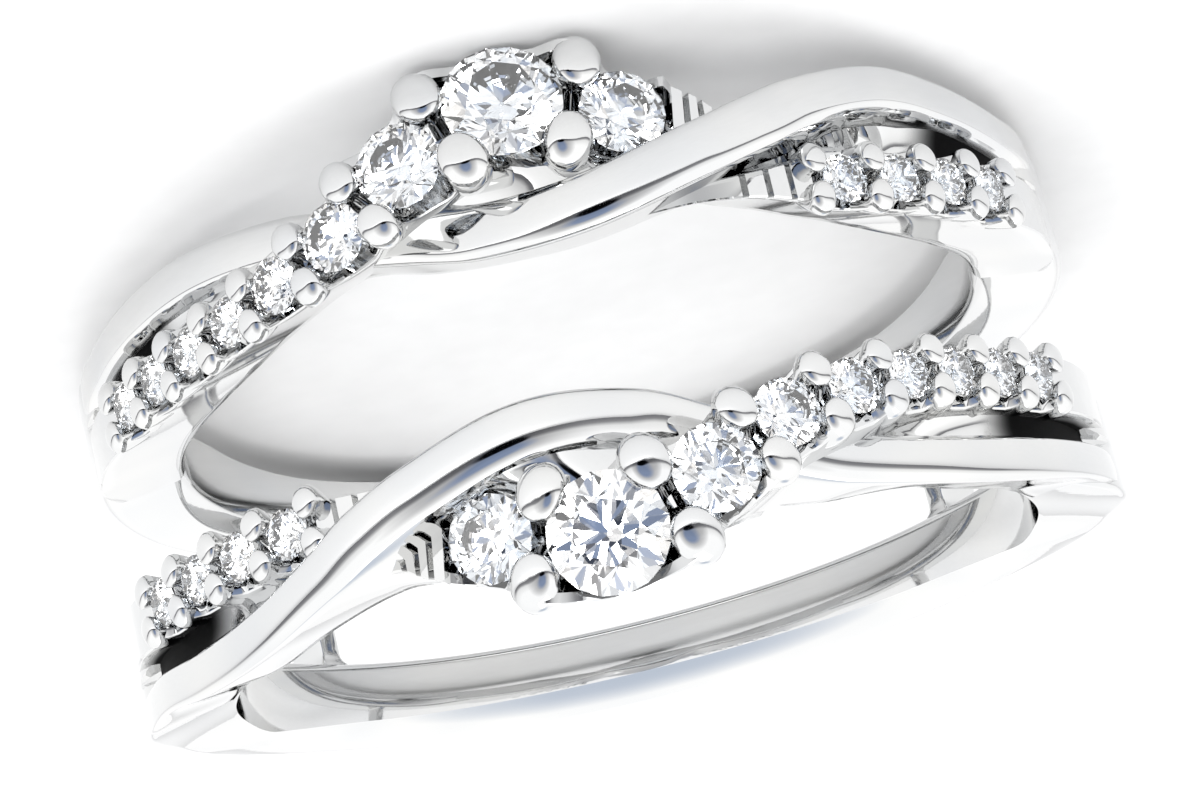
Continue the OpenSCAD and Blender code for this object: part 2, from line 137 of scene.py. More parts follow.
def curve_at(rows, col, x):
    """Smooth curve through a table's rows: cubic pieces whose slopes come from the neighbouring rows."""
    last = len(rows) - 1
    i = max(0, min(last - 1, sum(1 for r in rows[1:-1] if r[0] <= x)))

    def slope(k):
        a, b = rows[max(k - 1, 0)], rows[min(k + 1, last)]
        return (b[col] - a[col]) / (b[0] - a[0])

    span = rows[i + 1][0] - rows[i][0]
    t = (x - rows[i][0]) / span
    p, q = rows[i][col], rows[i + 1][col]
    m, n = slope(i) * span, slope(i + 1) * span
    return ((2 * t**3 - 3 * t**2 + 1) * p + (t**3 - 2 * t**2 + t) * m
            + (3 * t**2 - 2 * t**3) * q + (t**3 - t**2) * n)


# Places on the upper band, before the ring is laid down: angle from the head, radius, and height along
# the bore
SLOPE_STEP = 0.5


def outward(angle):
    a = math.radians(angle)
    return np.array([-math.sin(a), -math.cos(a), 0.0])


def place(angle, r, z):
    return outward(angle) * r + np.array([0.0, 0.0, z])


def route_z(rows, angle):
    return SHANK_MID + HEAD_OFFSET * curve_at(rows, 1, angle)


def foot_z(rows, angle):
    return SHANK_MID + HEAD_OFFSET * curve_at(rows, 2, angle)


def route_r(rows, angle):
    return SHANK_R + HEAD_RISE * curve_at(rows, 3, angle)


def route_point(rows, angle):
    return place(angle, route_r(rows, angle), route_z(rows, angle))


def route_along(rows, angle):
    return unit(route_point(rows, angle + SLOPE_STEP) - route_point(rows, angle - SLOPE_STEP))


def route_across(rows, angle):
    return unit(np.cross(route_along(rows, angle), outward(angle)))


# Stones of the two runs, as (diameter, angle); each next stone is stepped along its route
def step_angle(rows, angle, distance, sign):
    per_degree = np.linalg.norm(route_point(rows, angle + sign) - route_point(rows, angle))
    return sign * distance / per_degree


def next_angle(rows, angle, distance, sign):
    middle = angle + step_angle(rows, angle, distance, sign) / 2
    return angle + step_angle(rows, middle, distance, sign)


def walk(rows, sizes, start, sign):
    found = [(sizes[0], start)]
    for a, b in zip(sizes, sizes[1:]):
        found.append((b, next_angle(rows, found[-1][1], (a + b) / 2 + STONE_GAP, sign)))
    return found


UP_RUN = [CENTRE_D, SIDE_D, THIRD_D, FOURTH_D] + [SMALL_D] * 4
side_stone = walk(HEAD_ROUTE, [CENTRE_D, SIDE_D], 0, -1)[1]
head_run = [side_stone] + walk(HEAD_ROUTE, UP_RUN, 0, 1)
far_run = walk(FAR_ROUTE, [SMALL_D] * 4, -FAR_RUN_START, -1)[::-1]


def set_route(angle):
    return FAR_ROUTE if angle < (side_stone[1] - FAR_RUN_START) / 2 else HEAD_ROUTE


def stone_axis(angle):
    """Upward direction of a stone; those of the head lean to the outer side."""
    rows = set_route(angle)
    along, across = route_along(rows, angle), route_across(rows, angle)
    up = unit(np.cross(across, along))
    side = across if across[2] > 0 else -across
    lean = math.radians(HEAD_LEAN * max(0, 1 - abs(angle) / HEAD_LEAN_END))
    return unit(up * math.cos(lean) + side * math.sin(lean))


def stone_frame(angle):
    """(place, along, across, up) of the stone at this angle."""
    rows = set_route(angle)
    up = stone_axis(angle)
    along = unit(np.cross(route_across(rows, angle), up))
    return route_point(rows, angle), along, np.cross(up, along), up


def joints_of(rows, run):
    """Joints between the stones of a run, and the run's two ends, as (angle, mean diameter)."""
    half = STONE_GAP / 2
    joints = [(next_angle(rows, run[0][1], run[0][0] / 2 + half, -1), run[0][0])]
    for (d, a), (e, b) in zip(run, run[1:]):
        share = (d + STONE_GAP) / (d + e + 2 * STONE_GAP)
        joints.append((mix(a, b, share), (d + e) / 2))
    joints.append((next_angle(rows, run[-1][1], run[-1][0] / 2 + half, 1), run[-1][0]))
    return joints


head_joints = joints_of(HEAD_ROUTE, head_run)
far_joints = joints_of(FAR_ROUTE, far_run)

# The ring lies on its lower head and the back of its lower shank
head_reach = route_z(HEAD_ROUTE, 0) + CENTRE_D / 2 + WALL_MARGIN
shank_reach = SHANK_GAP / 2 + SHANK_W
REST_TILT = math.atan((head_reach - shank_reach) / (route_r(HEAD_ROUTE, 0) + SHANK_R - SHANK_ROUND))
LYING = Matrix.Rotation(-REST_TILT, 4, "X")
BANDS = (("upper", Matrix.Identity(4)), ("lower", Matrix.Rotation(math.pi, 4, "Y")))


# Meshes
CREASE_ANGLE = 32


def sweep(rings):
    """Closed form through rings of as many points each, as (vertices, faces)."""
    n, last = len(rings[0]), len(rings) - 1
    verts = [p for ring in rings for p in ring]
    faces = []
    for i in range(last):
        for j in range(n):
            k = (j + 1) % n
            faces.append((i * n + j, (i + 1) * n + j, (i + 1) * n + k, i * n + k))
    faces.append(tuple(range(n)))
    faces.append(tuple(last * n + j for j in range(n - 1, -1, -1)))
    return verts, faces


def joined(parts):
    verts, faces = [], []
    for part_verts, part_faces in parts:
        start = len(verts)
        verts.extend(part_verts)
        faces.extend(tuple(start + i for i in f) for f in part_faces)
    return verts, faces


def laid_mesh(name, verts, faces, turn):
    """Mesh in metres, turned to its band and laid down, with its faces looking outwards."""
    mesh = bpy.data.meshes.new(name)
    mesh.from_pydata([tuple(c * MM for c in v) for v in verts], [], faces)
    mesh.transform(LYING @ turn)
    bm = bmesh.new()
    bm.from_mesh(mesh)
    bmesh.ops.recalc_face_normals(bm, faces=bm.faces)
    bm.to_mesh(mesh)
    bm.free()
    return mesh


def shade(mesh, crease):
    """Smooth all over, apart from edges sharper than the crease's angle."""
    mesh.shade_smooth()
    mesh.set_sharp_from_angle(angle=math.radians(crease))


def metal_piece(name, verts, faces, painted_shade=None, crease=CREASE_ANGLE, bands=BANDS):
    """One piece of both bands: the upper one as given, the lower one turned half round. The optional list
    after the faces gives each vertex its painted shade: how far its colour is painted dark, from 0 to 1."""
    made = []
    for band, turn in bands:
        mesh = laid_mesh(f"{band}_{name}", verts, faces, turn)
        if painted_shade:
            # Stores the painted shade of each vertex, with which the metal's material darkens its colour
            mesh.attributes.new("painted_shade", "FLOAT", "POINT").data.foreach_set("value", painted_shade)
        shade(mesh, crease)
        mesh.materials.append(WHITE_GOLD)
        piece = bpy.data.objects.new(f"{band}_{name}", mesh)
        bpy.context.scene.collection.objects.link(piece)
        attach(piece, "root")
        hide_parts("ring_body")
        made.append(piece)
    return made


# Walls of the rails
# They run from a foot line inside the finger hole up to the crest, and are trimmed at the bore.
PLAIN_FOOT_R = BORE_R - 0.3
HEAD_FOOT_R = PLAIN_FOOT_R - 0.2
FAR_FOOT_R = PLAIN_FOOT_R - 0.3
FOOT_SPREAD = 1.5
FOOT_BEVEL = 0.15
# How far down its bevel the foot's middle point lies
BEVEL_MIDDLE = 0.62
FOOT_POINTS = 6
WALL_STEPS = 7
EDGE = 0.04
RAIL_END = 84
RAIL_STEP = 0.75


def foot_width(top_w):
    return min(FOOT_W, FOOT_SPREAD * top_w)


def rail_height(rows, angle, foot_r):
    return np.linalg.norm(route_point(rows, angle) - place(angle, foot_r, foot_z(rows, angle)))


def rail_point(rows, angle, foot_r, top_w, share_across, share_up):
    """Point of a rail's section, between its foot and its crest."""
    foot = place(angle, foot_r, foot_z(rows, angle))
    width = mix(foot_width(top_w), top_w, share_up)
    return (mix(foot, route_point(rows, angle), share_up)
            + route_across(rows, angle) * (share_across * width / 2))


def rail_ring(rows, angle, foot_r, top_w, top):
    """Section of a rail: its trimmed foot, its walls and the points of its top, as
    (across as a share of half the width, height above the crest in mm)."""
    height = rail_height(rows, angle, foot_r)

    def at(share_across, share_up):
        return rail_point(rows, angle, foot_r, top_w, share_across, share_up)

    start = (BORE_R - foot_r) / (route_r(rows, angle) - foot_r)
    inset = 2 * FOOT_BEVEL / foot_width(top_w)
    low, first, last = start + FOOT_BEVEL / height, 1 + top[0][1] / height, 1 + top[-1][1] / height
    middle = low - BEVEL_MIDDLE * (low - start)
    ring = [at(-1, low), at(-1 + inset / 3, middle), at(-1 + inset, start),
            at(1 - inset, start), at(1 - inset / 3, middle), at(1, low)]
    ring += [at(top[0][0], mix(low, first, i / WALL_STEPS)) for i in range(1, WALL_STEPS)]
    ring += [at(x, 1 + up / height) for x, up in top]
    ring += [at(top[-1][0], mix(last, low, i / WALL_STEPS)) for i in range(1, WALL_STEPS)]
    return ring


# Angles at which painted shade starts to darken the grooves at the shoulders, and from which the grooves are
# painted fully black as shade
PAINTED_SHADE_START, PAINTED_SHADE_FULL = 43, 50


def painted_shade_share(angle):
    return eased(abs(angle), PAINTED_SHADE_START, PAINTED_SHADE_FULL)


def wall_painted_shade(angle, top_count, groove_side):
    """Painted shade of each point of a rail's section: the wall of it that faces the groove is painted dark
    as shade.
    """
    # Only the groove-facing wall gets painted shade; the foot and the top get none
    shade_share, walls = painted_shade_share(angle), WALL_STEPS - 1
    sides = [shade_share, 0.0] if groove_side > 0 else [0.0, shade_share]
    return [0.0] * FOOT_POINTS + [sides[0]] * walls + [0.0] * top_count + [sides[1]] * walls


# Plain rail
# Its crest, its edges and how far its flanks fall: at the head, on the groove's side at the shoulders,
# where the flank narrows to a rim, and on the outer side at the shank. Crests and edges are shares of
# half its width.
CREST_SHARE, RIM_CREST_SHARE, SHANK_CREST_SHARE = 0.6, 0.72, 0.85
FLANK_SHARE, RIM_SHARE, SHANK_EDGE_SHARE = 1.34, 1.0, 1.0
FLANK_DROP, RIM_DROP, SHANK_DROP = 0.13, 0.2, 0.08
FLANK_END_ANGLE, RIM_START_ANGLE = 22, 34
OUTER_TAPER_START, OUTER_TAPER_END = 40, 70
# Height of the domed crown, how steeply a flank starts, and the space at a turn from one to the next
DOME = 0.016
FLANK_START = 0.3
CROWN_INSET, EDGE_INSET = 0.1, 0.03
CROWN_POINTS = 9
FLANK_STEPS = 7
PLAIN_TAPER_ANGLE = 68
PLAIN_TAPER = 0.6


def flank(crest, edge, drop):
    """One side of the plain rail's top, from its edge up to its crest."""
    points = [(edge, -drop - EDGE)]
    for i in range(FLANK_STEPS + 1):
        s = 1 - i / FLANK_STEPS
        points.append((mix(crest, edge - EDGE_INSET, s), -DOME - drop * mix(s**3, s, FLANK_START)))
    return points


def plain_top(angle):
    rim = eased(abs(angle), FLANK_END_ANGLE, RIM_START_ANGLE)
    gone = eased(abs(angle), OUTER_TAPER_START, OUTER_TAPER_END)
    crest = mix(CREST_SHARE, RIM_CREST_SHARE, rim)
    outer_crest = mix(CREST_SHARE, SHANK_CREST_SHARE, gone)
    crown = [(x, -DOME * (x / (outer_crest if x > 0 else crest)) ** 2)
             for x in np.linspace(outer_crest - CROWN_INSET, CROWN_INSET - crest, CROWN_POINTS)]
    groove_side = flank(crest, mix(FLANK_SHARE, RIM_SHARE, rim), mix(FLANK_DROP, RIM_DROP, rim))
    outer_side = flank(outer_crest, mix(FLANK_SHARE, SHANK_EDGE_SHARE, gone),
                       mix(FLANK_DROP, SHANK_DROP, gone))
    return outer_side + crown + [(-x, up) for x, up in groove_side[::-1]]


def plain_width(angle):
    """Width of the plain rail, which narrows where it passes into the shank."""
    return PLAIN_W * (1 - PLAIN_TAPER * eased(abs(angle), PLAIN_TAPER_ANGLE, RAIL_END))


def plain_rail():
    rings, painted_shade = [], []
    for a in angles(-RAIL_END, RAIL_END, RAIL_STEP):
        top = plain_top(a)
        rings.append(rail_ring(PLAIN_ROUTE, a, PLAIN_FOOT_R, plain_width(a), top))
        painted_shade += wall_painted_shade(a, len(top), -1)
    return (*sweep(rings), painted_shade)


# Set rails
# Each side has a rim with a rounded edge, and the stones' channel lies between the rims.
RIM_W, RIM_MOST_SHARE = 0.24, 0.45
# The rounded edge's radius, and its one point between the ends as shares of it, inwards and down
RIM_ROUND, RIM_CORNER_IN, RIM_CORNER_DOWN = 0.05, 0.3, 0.6
CHANNEL_WALL_W = 0.2
# Depth of the channel between two stones, as a share of their mean diameter
CHANNEL_SHARE = 0.3
# Depth of the scoops beside a stone, on the side of the gap and on the outer side, and how far the rims
# rise at a joint; both grow with the stone up to a limit
GAP_SCOOP, OUTER_SCOOP, MOST_SCOOP = 0.42, 0.26, 1.3
JOINT_RISE, MOST_RISE = 0.1, 1.6
JOINT_START, JOINT_SPAN = 0.3, 0.6
RUN_END_FADE = 1.2
# Beyond the stones the crest is a ridge, crossed by V cuts at the rail's inner end
RIDGE_DROP, RIDGE_FADE = 0.1, 9
CUT_DEPTH = 0.2
CUT_HALF_ANGLE = 0.34
# Places of the cuts from the end of the run of stones, as shares of their spacing
CUT_SPACING = 2.6
FAR_CUT_PLACES, HEAD_CUT_PLACES = (1, 2, 3), (0.55, 1.15, 1.8)
# Stations across a cut and how far the others keep away, as shares of its half angle
CUT_STATIONS, CUT_CLEAR = (-1.1, -1, 0, 1, 1.1), 1.2
FAR_RAIL_END, HEAD_RAIL_START = -12, -28
SET_RAIL_STEP = 0.5

far_cuts = [far_joints[-1][0] + i * CUT_SPACING for i in FAR_CUT_PLACES]
head_cuts = [head_joints[0][0] - i * CUT_SPACING for i in HEAD_CUT_PLACES]

# Widths of the set rails' tops, as (angle, width)
far_widths = ([(-90, SMALL_D)] + [(a, d + 2 * WALL_MARGIN) for d, a in far_run]
              + [(-28, 0.85 * SMALL_D), (-22, 0.5 * SMALL_D), (FAR_RAIL_END, 0.3 * SMALL_D)])
head_widths = ([(HEAD_RAIL_START, 0.2 * SMALL_D), (-21, 0.5 * SMALL_D), (-18, 1.1 * SMALL_D)]
               + [(a, d + 2 * WALL_MARGIN) for d, a in head_run] + [(90, SMALL_D)])


def set_top(top_w, outer_drop, gap_drop, floor_drop):
    """Top of a set rail, from its outer side to the gap's, for the depths of both rims and the channel."""
    half = top_w / 2
    rim = min(RIM_W, RIM_MOST_SHARE * half)

    def side(sign, drop):
        points = [(0, drop + 2 * RIM_ROUND),
                  (RIM_CORNER_IN * RIM_ROUND, drop + RIM_CORNER_DOWN * RIM_ROUND),
                  (RIM_ROUND, drop), (rim, drop),
                  (rim + CHANNEL_WALL_W * min(1, half), max(drop, floor_drop))]
        return [(sign * (1 - x / half), -d) for x, d in points]

    return side(1, outer_drop) + side(-1, gap_drop)[::-1]


def beside_stones(angle, run, joints):
    """(how near a joint this angle is, 0 beside a stone and 1 at a joint; the stone's diameter)"""
    for i, (d, _) in enumerate(run):
        a, b = joints[i][0], joints[i + 1][0]
        if a <= angle <= b:
            return smoothstep((abs(2 * (angle - a) / (b - a) - 1) - JOINT_START) / JOINT_SPAN), d
    return None


def set_top_at(angle, top_w, run, joints, cuts):
    place_in_run = beside_stones(angle, run, joints)
    if place_in_run is None:
        near = min(abs(angle - joints[0][0]), abs(angle - joints[-1][0]))
        level = RIDGE_DROP * (1 - smoothstep(near / RIDGE_FADE))
        level += CUT_DEPTH * max([0.0] + [1 - abs(angle - c) / CUT_HALF_ANGLE for c in cuts])
        return set_top(top_w, level, level, level)
    near_joint, d = place_in_run
    rise = -JOINT_RISE * min(MOST_RISE, d / SMALL_D)
    ends = smoothstep(min(angle - joints[0][0], joints[-1][0] - angle) / RUN_END_FADE)
    outer, gap = (mix(s * min(MOST_SCOOP, d / SMALL_D), mix(RIDGE_DROP, rise, ends), near_joint)
                  for s in (OUTER_SCOOP, GAP_SCOOP))
    return set_top(top_w, outer, gap, mix(RIDGE_DROP, CHANNEL_SHARE * d, ends))


def set_rail_angles(start, end, cuts):
    """Even stations, with close ones across each cut."""
    found = [a for a in angles(start, end, SET_RAIL_STEP)
             if all(abs(a - c) > CUT_CLEAR * CUT_HALF_ANGLE for c in cuts)]
    for c in cuts:
        found += [c + s * CUT_HALF_ANGLE for s in CUT_STATIONS]
    return sorted(found)


def set_rail(rows, foot_r, widths, run, joints, cuts, start, end):
    rings, painted_shade = [], []
    for a in set_rail_angles(start, end, cuts):
        top_w = curve_at(widths, 1, a)
        top = set_top_at(a, top_w, run, joints, cuts)
        rings.append(rail_ring(rows, a, foot_r, top_w, top))
        painted_shade += wall_painted_shade(a, len(top), 1)
    return (*sweep(rings), painted_shade)


def far_rail():
    return set_rail(FAR_ROUTE, FAR_FOOT_R, far_widths, far_run, far_joints, far_cuts,
                    -RAIL_END, FAR_RAIL_END)


def head_rail():
    return set_rail(HEAD_ROUTE, HEAD_FOOT_R, head_widths, head_run, head_joints, head_cuts,
                    HEAD_RAIL_START, RAIL_END)


# Fillings between the plain rail and a set rail
FILLING_STEPS = 8
FILLING_FOOT_R = BORE_R + 0.02


def filling(angle, rows, near, far, sag):
    """Section of a filling from its near side on the plain rail to its far side, as (radius, height)."""
    ring = [place(angle, FILLING_FOOT_R, foot_z(route, angle)) for route in (PLAIN_ROUTE, rows)]
    for i in range(FILLING_STEPS + 1):
        s = 1 - i / FILLING_STEPS
        r = mix(near[0], far[0], s) - sag * math.sin(math.pi * s)
        ring.append(place(angle, r, mix(near[1], far[1], s)))
    return ring


# The web is the smooth filling beside the head; a narrow crack parts it from the plain rail
WEB_START, WEB_END = -16, 15
WEB_DEPTH = 0.27
WEB_RISE = 0.12
WEB_CROWN = 0.04
WEB_CRACK, CRACK_TOP_W, CRACK_OVERLAP = 0.5, 0.06, 0.02
STONE_SIDE_DEPTH = 0.3


def web():
    rings = []
    for a in angles(WEB_START, WEB_END, RAIL_STEP):
        edge_r = route_r(PLAIN_ROUTE, a) - WEB_DEPTH
        edge_z = route_z(PLAIN_ROUTE, a) + FLANK_SHARE * PLAIN_W / 2
        far_r = min(route_r(HEAD_ROUTE, a) - STONE_SIDE_DEPTH, edge_r + WEB_RISE)
        far_z = route_z(HEAD_ROUTE, a) - SIDE_D / 2
        ring = filling(a, HEAD_ROUTE, (edge_r, edge_z + CRACK_TOP_W), (far_r, far_z), -WEB_CROWN)
        ring.append(place(a, edge_r - WEB_CRACK, edge_z - CRACK_OVERLAP))
        rings.append(ring)
    return sweep(rings)


# Floors of the grooves: how deep they lie under the set rail's crest and under the plain rail's, and how
# far into each rail's wall they reach
FAR_FLOOR, HEAD_FLOOR = (-76, -19), (22, 76)
FLOOR_UNDER_SET = 0.42
FLOOR_UNDER_PLAIN, FLOOR_MOST_UNDER_PLAIN = 0.34, 0.55
FLOOR_RISE = 0.2
FLOOR_SAG = 0.06
IN_PLAIN_WALL, IN_SET_WALL = -0.9, 0.85


def wall_point(rows, angle, foot_r, top_w, share_across, r):
    """Point of a rail's section about this far out, as (radius, height)."""
    share_up = (r - foot_r) / (route_r(rows, angle) - foot_r)
    at = rail_point(rows, angle, foot_r, top_w, share_across, share_up)
    return math.hypot(at[0], at[1]), at[2]


def groove_floor(rows, foot_r, widths, start, end):
    """(vertices, faces, painted shade of each vertex)"""
    rings, painted_shade = [], []
    for a in angles(start, end, RAIL_STEP):
        set_r, plain_r = route_r(rows, a), route_r(PLAIN_ROUTE, a)
        low_r = set_r - FLOOR_UNDER_SET
        high_r = max(min(low_r + FLOOR_RISE, plain_r - FLOOR_UNDER_PLAIN), plain_r - FLOOR_MOST_UNDER_PLAIN)
        near = wall_point(PLAIN_ROUTE, a, PLAIN_FOOT_R, plain_width(a), IN_PLAIN_WALL, high_r)
        far = wall_point(rows, a, foot_r, curve_at(widths, 1, a), IN_SET_WALL, low_r)
        rings.append(filling(a, rows, near, far, FLOOR_SAG))
        # The floor between the two wall feet is painted dark as shade, as far as the shoulders' shade share
        # says
        painted_shade += [0.0, 0.0] + [painted_shade_share(a)] * (FILLING_STEPS + 1)
    return (*sweep(rings), painted_shade)


# Shank
SHANK_STEP = 2
ROUND_STEPS = 10
# It flares towards the split, where its inner bevel grows until the walls lean
SHANK_FLARE, SHANK_FLARE_SPAN = 0.45, 60
SHOULDER_FLARE, SHOULDER_ANGLE = 0.26, 98
SHANK_BEVEL, LEAN_BEVEL_LOSS = 0.25, 0.7
CRISP_EDGE = 0.15
# Crescent bevel at the bore's outer edge, widest at the back
CRESCENT, LEAST_CRESCENT, CRESCENT_END = 1.15, 0.1, 105
CRESCENT_DROP, CRESCENT_SLOPE, CRESCENT_RUN_IN = 0.1, 0.32, 0.4
# In front of the split the walls lean as the rails' do, and the shank dives under the rails
LEAN_END_ANGLE = 108
INNER_LEAN, OUTER_LEAN = 0.55, 0.45
DIVE_ANGLE, DIVE_R, DIVE_ROUND_LOSS = 22, BORE_R + 0.5, 0.6
DIVE_INNER_LEAN, DIVE_OUTER_LEAN = 0.05, 0.1
# The grooves run on into a channel in its outer side, which closes to a point at the split
CHANNEL_ANGLE = 9
CHANNEL_Z0, CHANNEL_Z1, CHANNEL_LEAST_HALF_W = 2.45, 3.12, 0.1
CHANNEL_DEPTH, CHANNEL_FLOOR_T = 0.9, 0.3
CHANNEL_SLANT, CHANNEL_MARGIN = 0.08, 0.02


def quarter_round(r):
    """Points of a rounded corner, as distances from the centre of its arc."""
    turns = [math.radians(90 * i / ROUND_STEPS) for i in range(ROUND_STEPS + 1)]
    return [(r * math.sin(a), r * math.cos(a)) for a in turns]


def shank_ring(angle):
    """Section of the shank, as points at this angle."""
    back = 180 - abs(180 - angle)
    dive = smoothstep((SPLIT_ANGLE - back) / DIVE_ANGLE)
    opened = smoothstep((SPLIT_ANGLE - back) / CHANNEL_ANGLE)
    shoulder = eased(back, SHOULDER_ANGLE, SPLIT_ANGLE)
    lean = eased(back, LEAN_END_ANGLE, SPLIT_ANGLE)
    near_split = (1 + math.cos(math.pi * share_of(back, SPLIT_ANGLE, SPLIT_ANGLE + SHANK_FLARE_SPAN))) / 2

    z0 = SHANK_GAP / 2
    z1 = z0 + SHANK_W + SHANK_FLARE * near_split + SHOULDER_FLARE * shoulder
    middle = (z0 + z1) / 2
    outer_r = mix(SHANK_R, DIVE_R, dive)
    inner_edge = SHANK_ROUND * (1 - DIVE_ROUND_LOSS * dive)
    outer_edge = mix(inner_edge, CRISP_EDGE, shoulder)
    bevel = SHANK_BEVEL * (1 + near_split) * (1 - LEAN_BEVEL_LOSS * lean)
    reach = mix(LEAST_CRESCENT, CRESCENT, math.sin(math.pi / 2 * share_of(back, CRESCENT_END, 180)))
    run = reach + CRESCENT_RUN_IN
    bore_z = z1 - (CRESCENT_DROP + CRESCENT_SLOPE * run) * reach / run
    half = mix(CHANNEL_LEAST_HALF_W, (CHANNEL_Z1 - CHANNEL_Z0) / 2, opened)
    channel_z = min((CHANNEL_Z0 + CHANNEL_Z1) / 2, z1 - outer_edge - CHANNEL_MARGIN - half)
    floor_r = outer_r - opened * max(0, min(CHANNEL_DEPTH, outer_r - BORE_R - CHANNEL_FLOOR_T))

    section = [(BORE_R + EDGE, z0 + bevel - EDGE), (BORE_R, z0 + bevel + EDGE), (BORE_R, bore_z),
               (BORE_R + reach, z1)]
    section += [(outer_r - outer_edge + x, z1 - outer_edge + y) for x, y in quarter_round(outer_edge)]
    section += [(outer_r, channel_z + half), (floor_r, channel_z + half - CHANNEL_SLANT),
                (floor_r, channel_z - half + CHANNEL_SLANT), (outer_r, channel_z - half)]
    section += [(outer_r - inner_edge + y, z0 + inner_edge - x) for x, y in quarter_round(inner_edge)]
    section += [(BORE_R + bevel + EDGE, z0), (BORE_R + bevel - EDGE, z0 + EDGE)]

    def leaned(r, z):
        depth = (SHANK_R - r) / SHANK_T
        if z < middle:
            return z + (INNER_LEAN * lean * depth + DIVE_INNER_LEAN * dive) * (middle - z) / (middle - z0)
        return z - (OUTER_LEAN * lean * depth + DIVE_OUTER_LEAN * dive) * (z - middle) / (z1 - middle)

    return [place(angle, r, leaned(r, z)) for r, z in section]


def shank():
    start = SPLIT_ANGLE - DIVE_ANGLE
    return sweep([shank_ring(a) for a in angles(start, 360 - start, SHANK_STEP)])


# Seats of the stones
SEAT_SIDES = 40
SEAT_POINT = 0.06
# Height of a seat above the girdle, as a share of the crown's, and how much of its slope the seat has
SEAT_TOP, SEAT_SLOPE = 2.2, 0.6


def turned(count):
    return [2 * math.pi * i / count for i in range(count)]


def seat(d, angle):
    """Room for a stone, as a turned form: (vertices, faces)."""
    at, along, across, up = stone_frame(angle)
    room = d / 2 + SEAT_CLEAR
    base = GIRDLE_SHARE * d / 2 + SEAT_CLEAR
    crown = CROWN_SHARE * d
    slope = (1 - TABLE_SHARE) * d / 2 / crown
    profile = [(SEAT_POINT * room, -PAVILION_SHARE * d), (room, -base), (room, base),
               (room - slope * crown * SEAT_SLOPE, crown * SEAT_TOP)]
    rings = [[at + up * h + (along * math.cos(t) + across * math.sin(t)) * r for t in turned(SEAT_SIDES)]
             for r, h in profile]
    return sweep(rings)


def cut_seats(piece, turn, stones):
    """Cuts the stones' seats out of a piece of metal."""
    verts, faces = joined([seat(d, a) for d, a in stones])
    cutter = bpy.data.objects.new("seat_cutters", laid_mesh("seat_cutters", verts, faces, turn))
    bpy.context.scene.collection.objects.link(cutter)
    cut = piece.modifiers.new("seats", "BOOLEAN")
    cut.operation = "DIFFERENCE"
    cut.object = cutter
    cut.solver = "EXACT"
    cut.use_self = True
    graph = bpy.context.evaluated_depsgraph_get()
    result = bpy.data.meshes.new_from_object(piece.evaluated_get(graph), depsgraph=graph)
    piece.modifiers.clear()
    uncut = piece.data
    piece.data = result
    bpy.data.meshes.remove(uncut)
    bpy.data.objects.remove(cutter)
    shade(result, CREASE_ANGLE)


# Claws
# Sizes of those beside the smallest stones and beside the centre stone
SMALL_CLAW_D, BIG_CLAW_D = 0.58, 1.08
SMALL_CLAW_RISE, BIG_CLAW_RISE = 0.26, 0.48
SMALL_STEM, BIG_STEM = 0.7, 1.3
# How far from the route they stand and how far they lean over the stones, as shares of the diameter
CLAW_STAND, CLAW_LEAN = 0.43, 0.07
CLAW_OVAL = 1.12
CLAW_SHOULDER, CLAW_FLATNESS, CLAW_TIP = 0.3, 0.75, 0.02
# A stem widens downwards, and its end is sunk into the wall
STEM_FLARE, STEM_SINK, STEM_CURVE = 1.12, 0.05, 1.5
CLAW_SIDES = 24
STEM_STEPS, BEAD_STEPS = 8, 10
CLAW_CREASE = 60


def claw(rows, widths, foot_r, angle, d, side):
    """Claw beside a joint: a round bead that leans over its two stones, on a stem that runs down the
    rail's wall and fades into it."""
    share = (d - SMALL_D) / (CENTRE_D - SMALL_D)
    wide = mix(SMALL_CLAW_D, BIG_CLAW_D, share)
    rise = mix(SMALL_CLAW_RISE, BIG_CLAW_RISE, share)
    stem = mix(SMALL_STEM, BIG_STEM, share)
    up = stone_axis(angle)
    along = route_along(rows, angle)
    across = unit(np.cross(along, up)) * side
    top_w = curve_at(widths, 1, angle)
    height = rail_height(rows, angle, foot_r)
    base = route_point(rows, angle) + across * (CLAW_STAND * d)
    stands_out = CLAW_STAND * d + wide / 2 * CLAW_OVAL - top_w / 2

    def wall(depth):
        return rail_point(rows, angle, foot_r, top_w, side, 1 - depth / height)

    levels = []
    for i in range(STEM_STEPS + 1):
        sunk = 1 - i / STEM_STEPS
        inward = (stands_out + STEM_SINK) * sunk**STEM_CURVE
        levels.append((base + wall(stem * sunk) - wall(0) - across * inward, mix(1.0, STEM_FLARE, sunk)))
    for i in range(1, BEAD_STEPS + 1):
        t = math.pi / 2 * i / BEAD_STEPS
        h = rise * mix(CLAW_SHOULDER, 1, math.sin(t))
        lean = CLAW_LEAN * d * smoothstep(h / rise)
        levels.append((base + up * h - across * lean, max(CLAW_TIP, math.cos(t) ** CLAW_FLATNESS)))
    rings = []
    for middle, w in levels:
        rings.append([middle + (along * math.cos(t) + across * (math.sin(t) * CLAW_OVAL)) * (wide / 2 * w)
                      for t in turned(CLAW_SIDES)])
    return sweep(rings)


def claws():
    parts = []
    for side in (-1, 1):
        parts += [claw(HEAD_ROUTE, head_widths, HEAD_FOOT_R, a, d, side) for a, d in head_joints[1:]]
        parts += [claw(FAR_ROUTE, far_widths, FAR_FOOT_R, a, d, side) for a, d in far_joints]
    return joined(parts)


# Bridge bars: squared ovals with a small flare where they are soldered to the shanks
BRIDGE_ANGLE = 129
BRIDGE_W = 0.6
BRIDGE_T = 1.1
BAR_FLARE, BAR_FLARE_LENGTH = 0.12, 0.25
BAR_SQUARENESS = 0.35
BAR_SIDES = 32
BAR_STATIONS = 49
BAR_CREASE = 45


def squared(x):
    return math.copysign(abs(x) ** BAR_SQUARENESS, x)


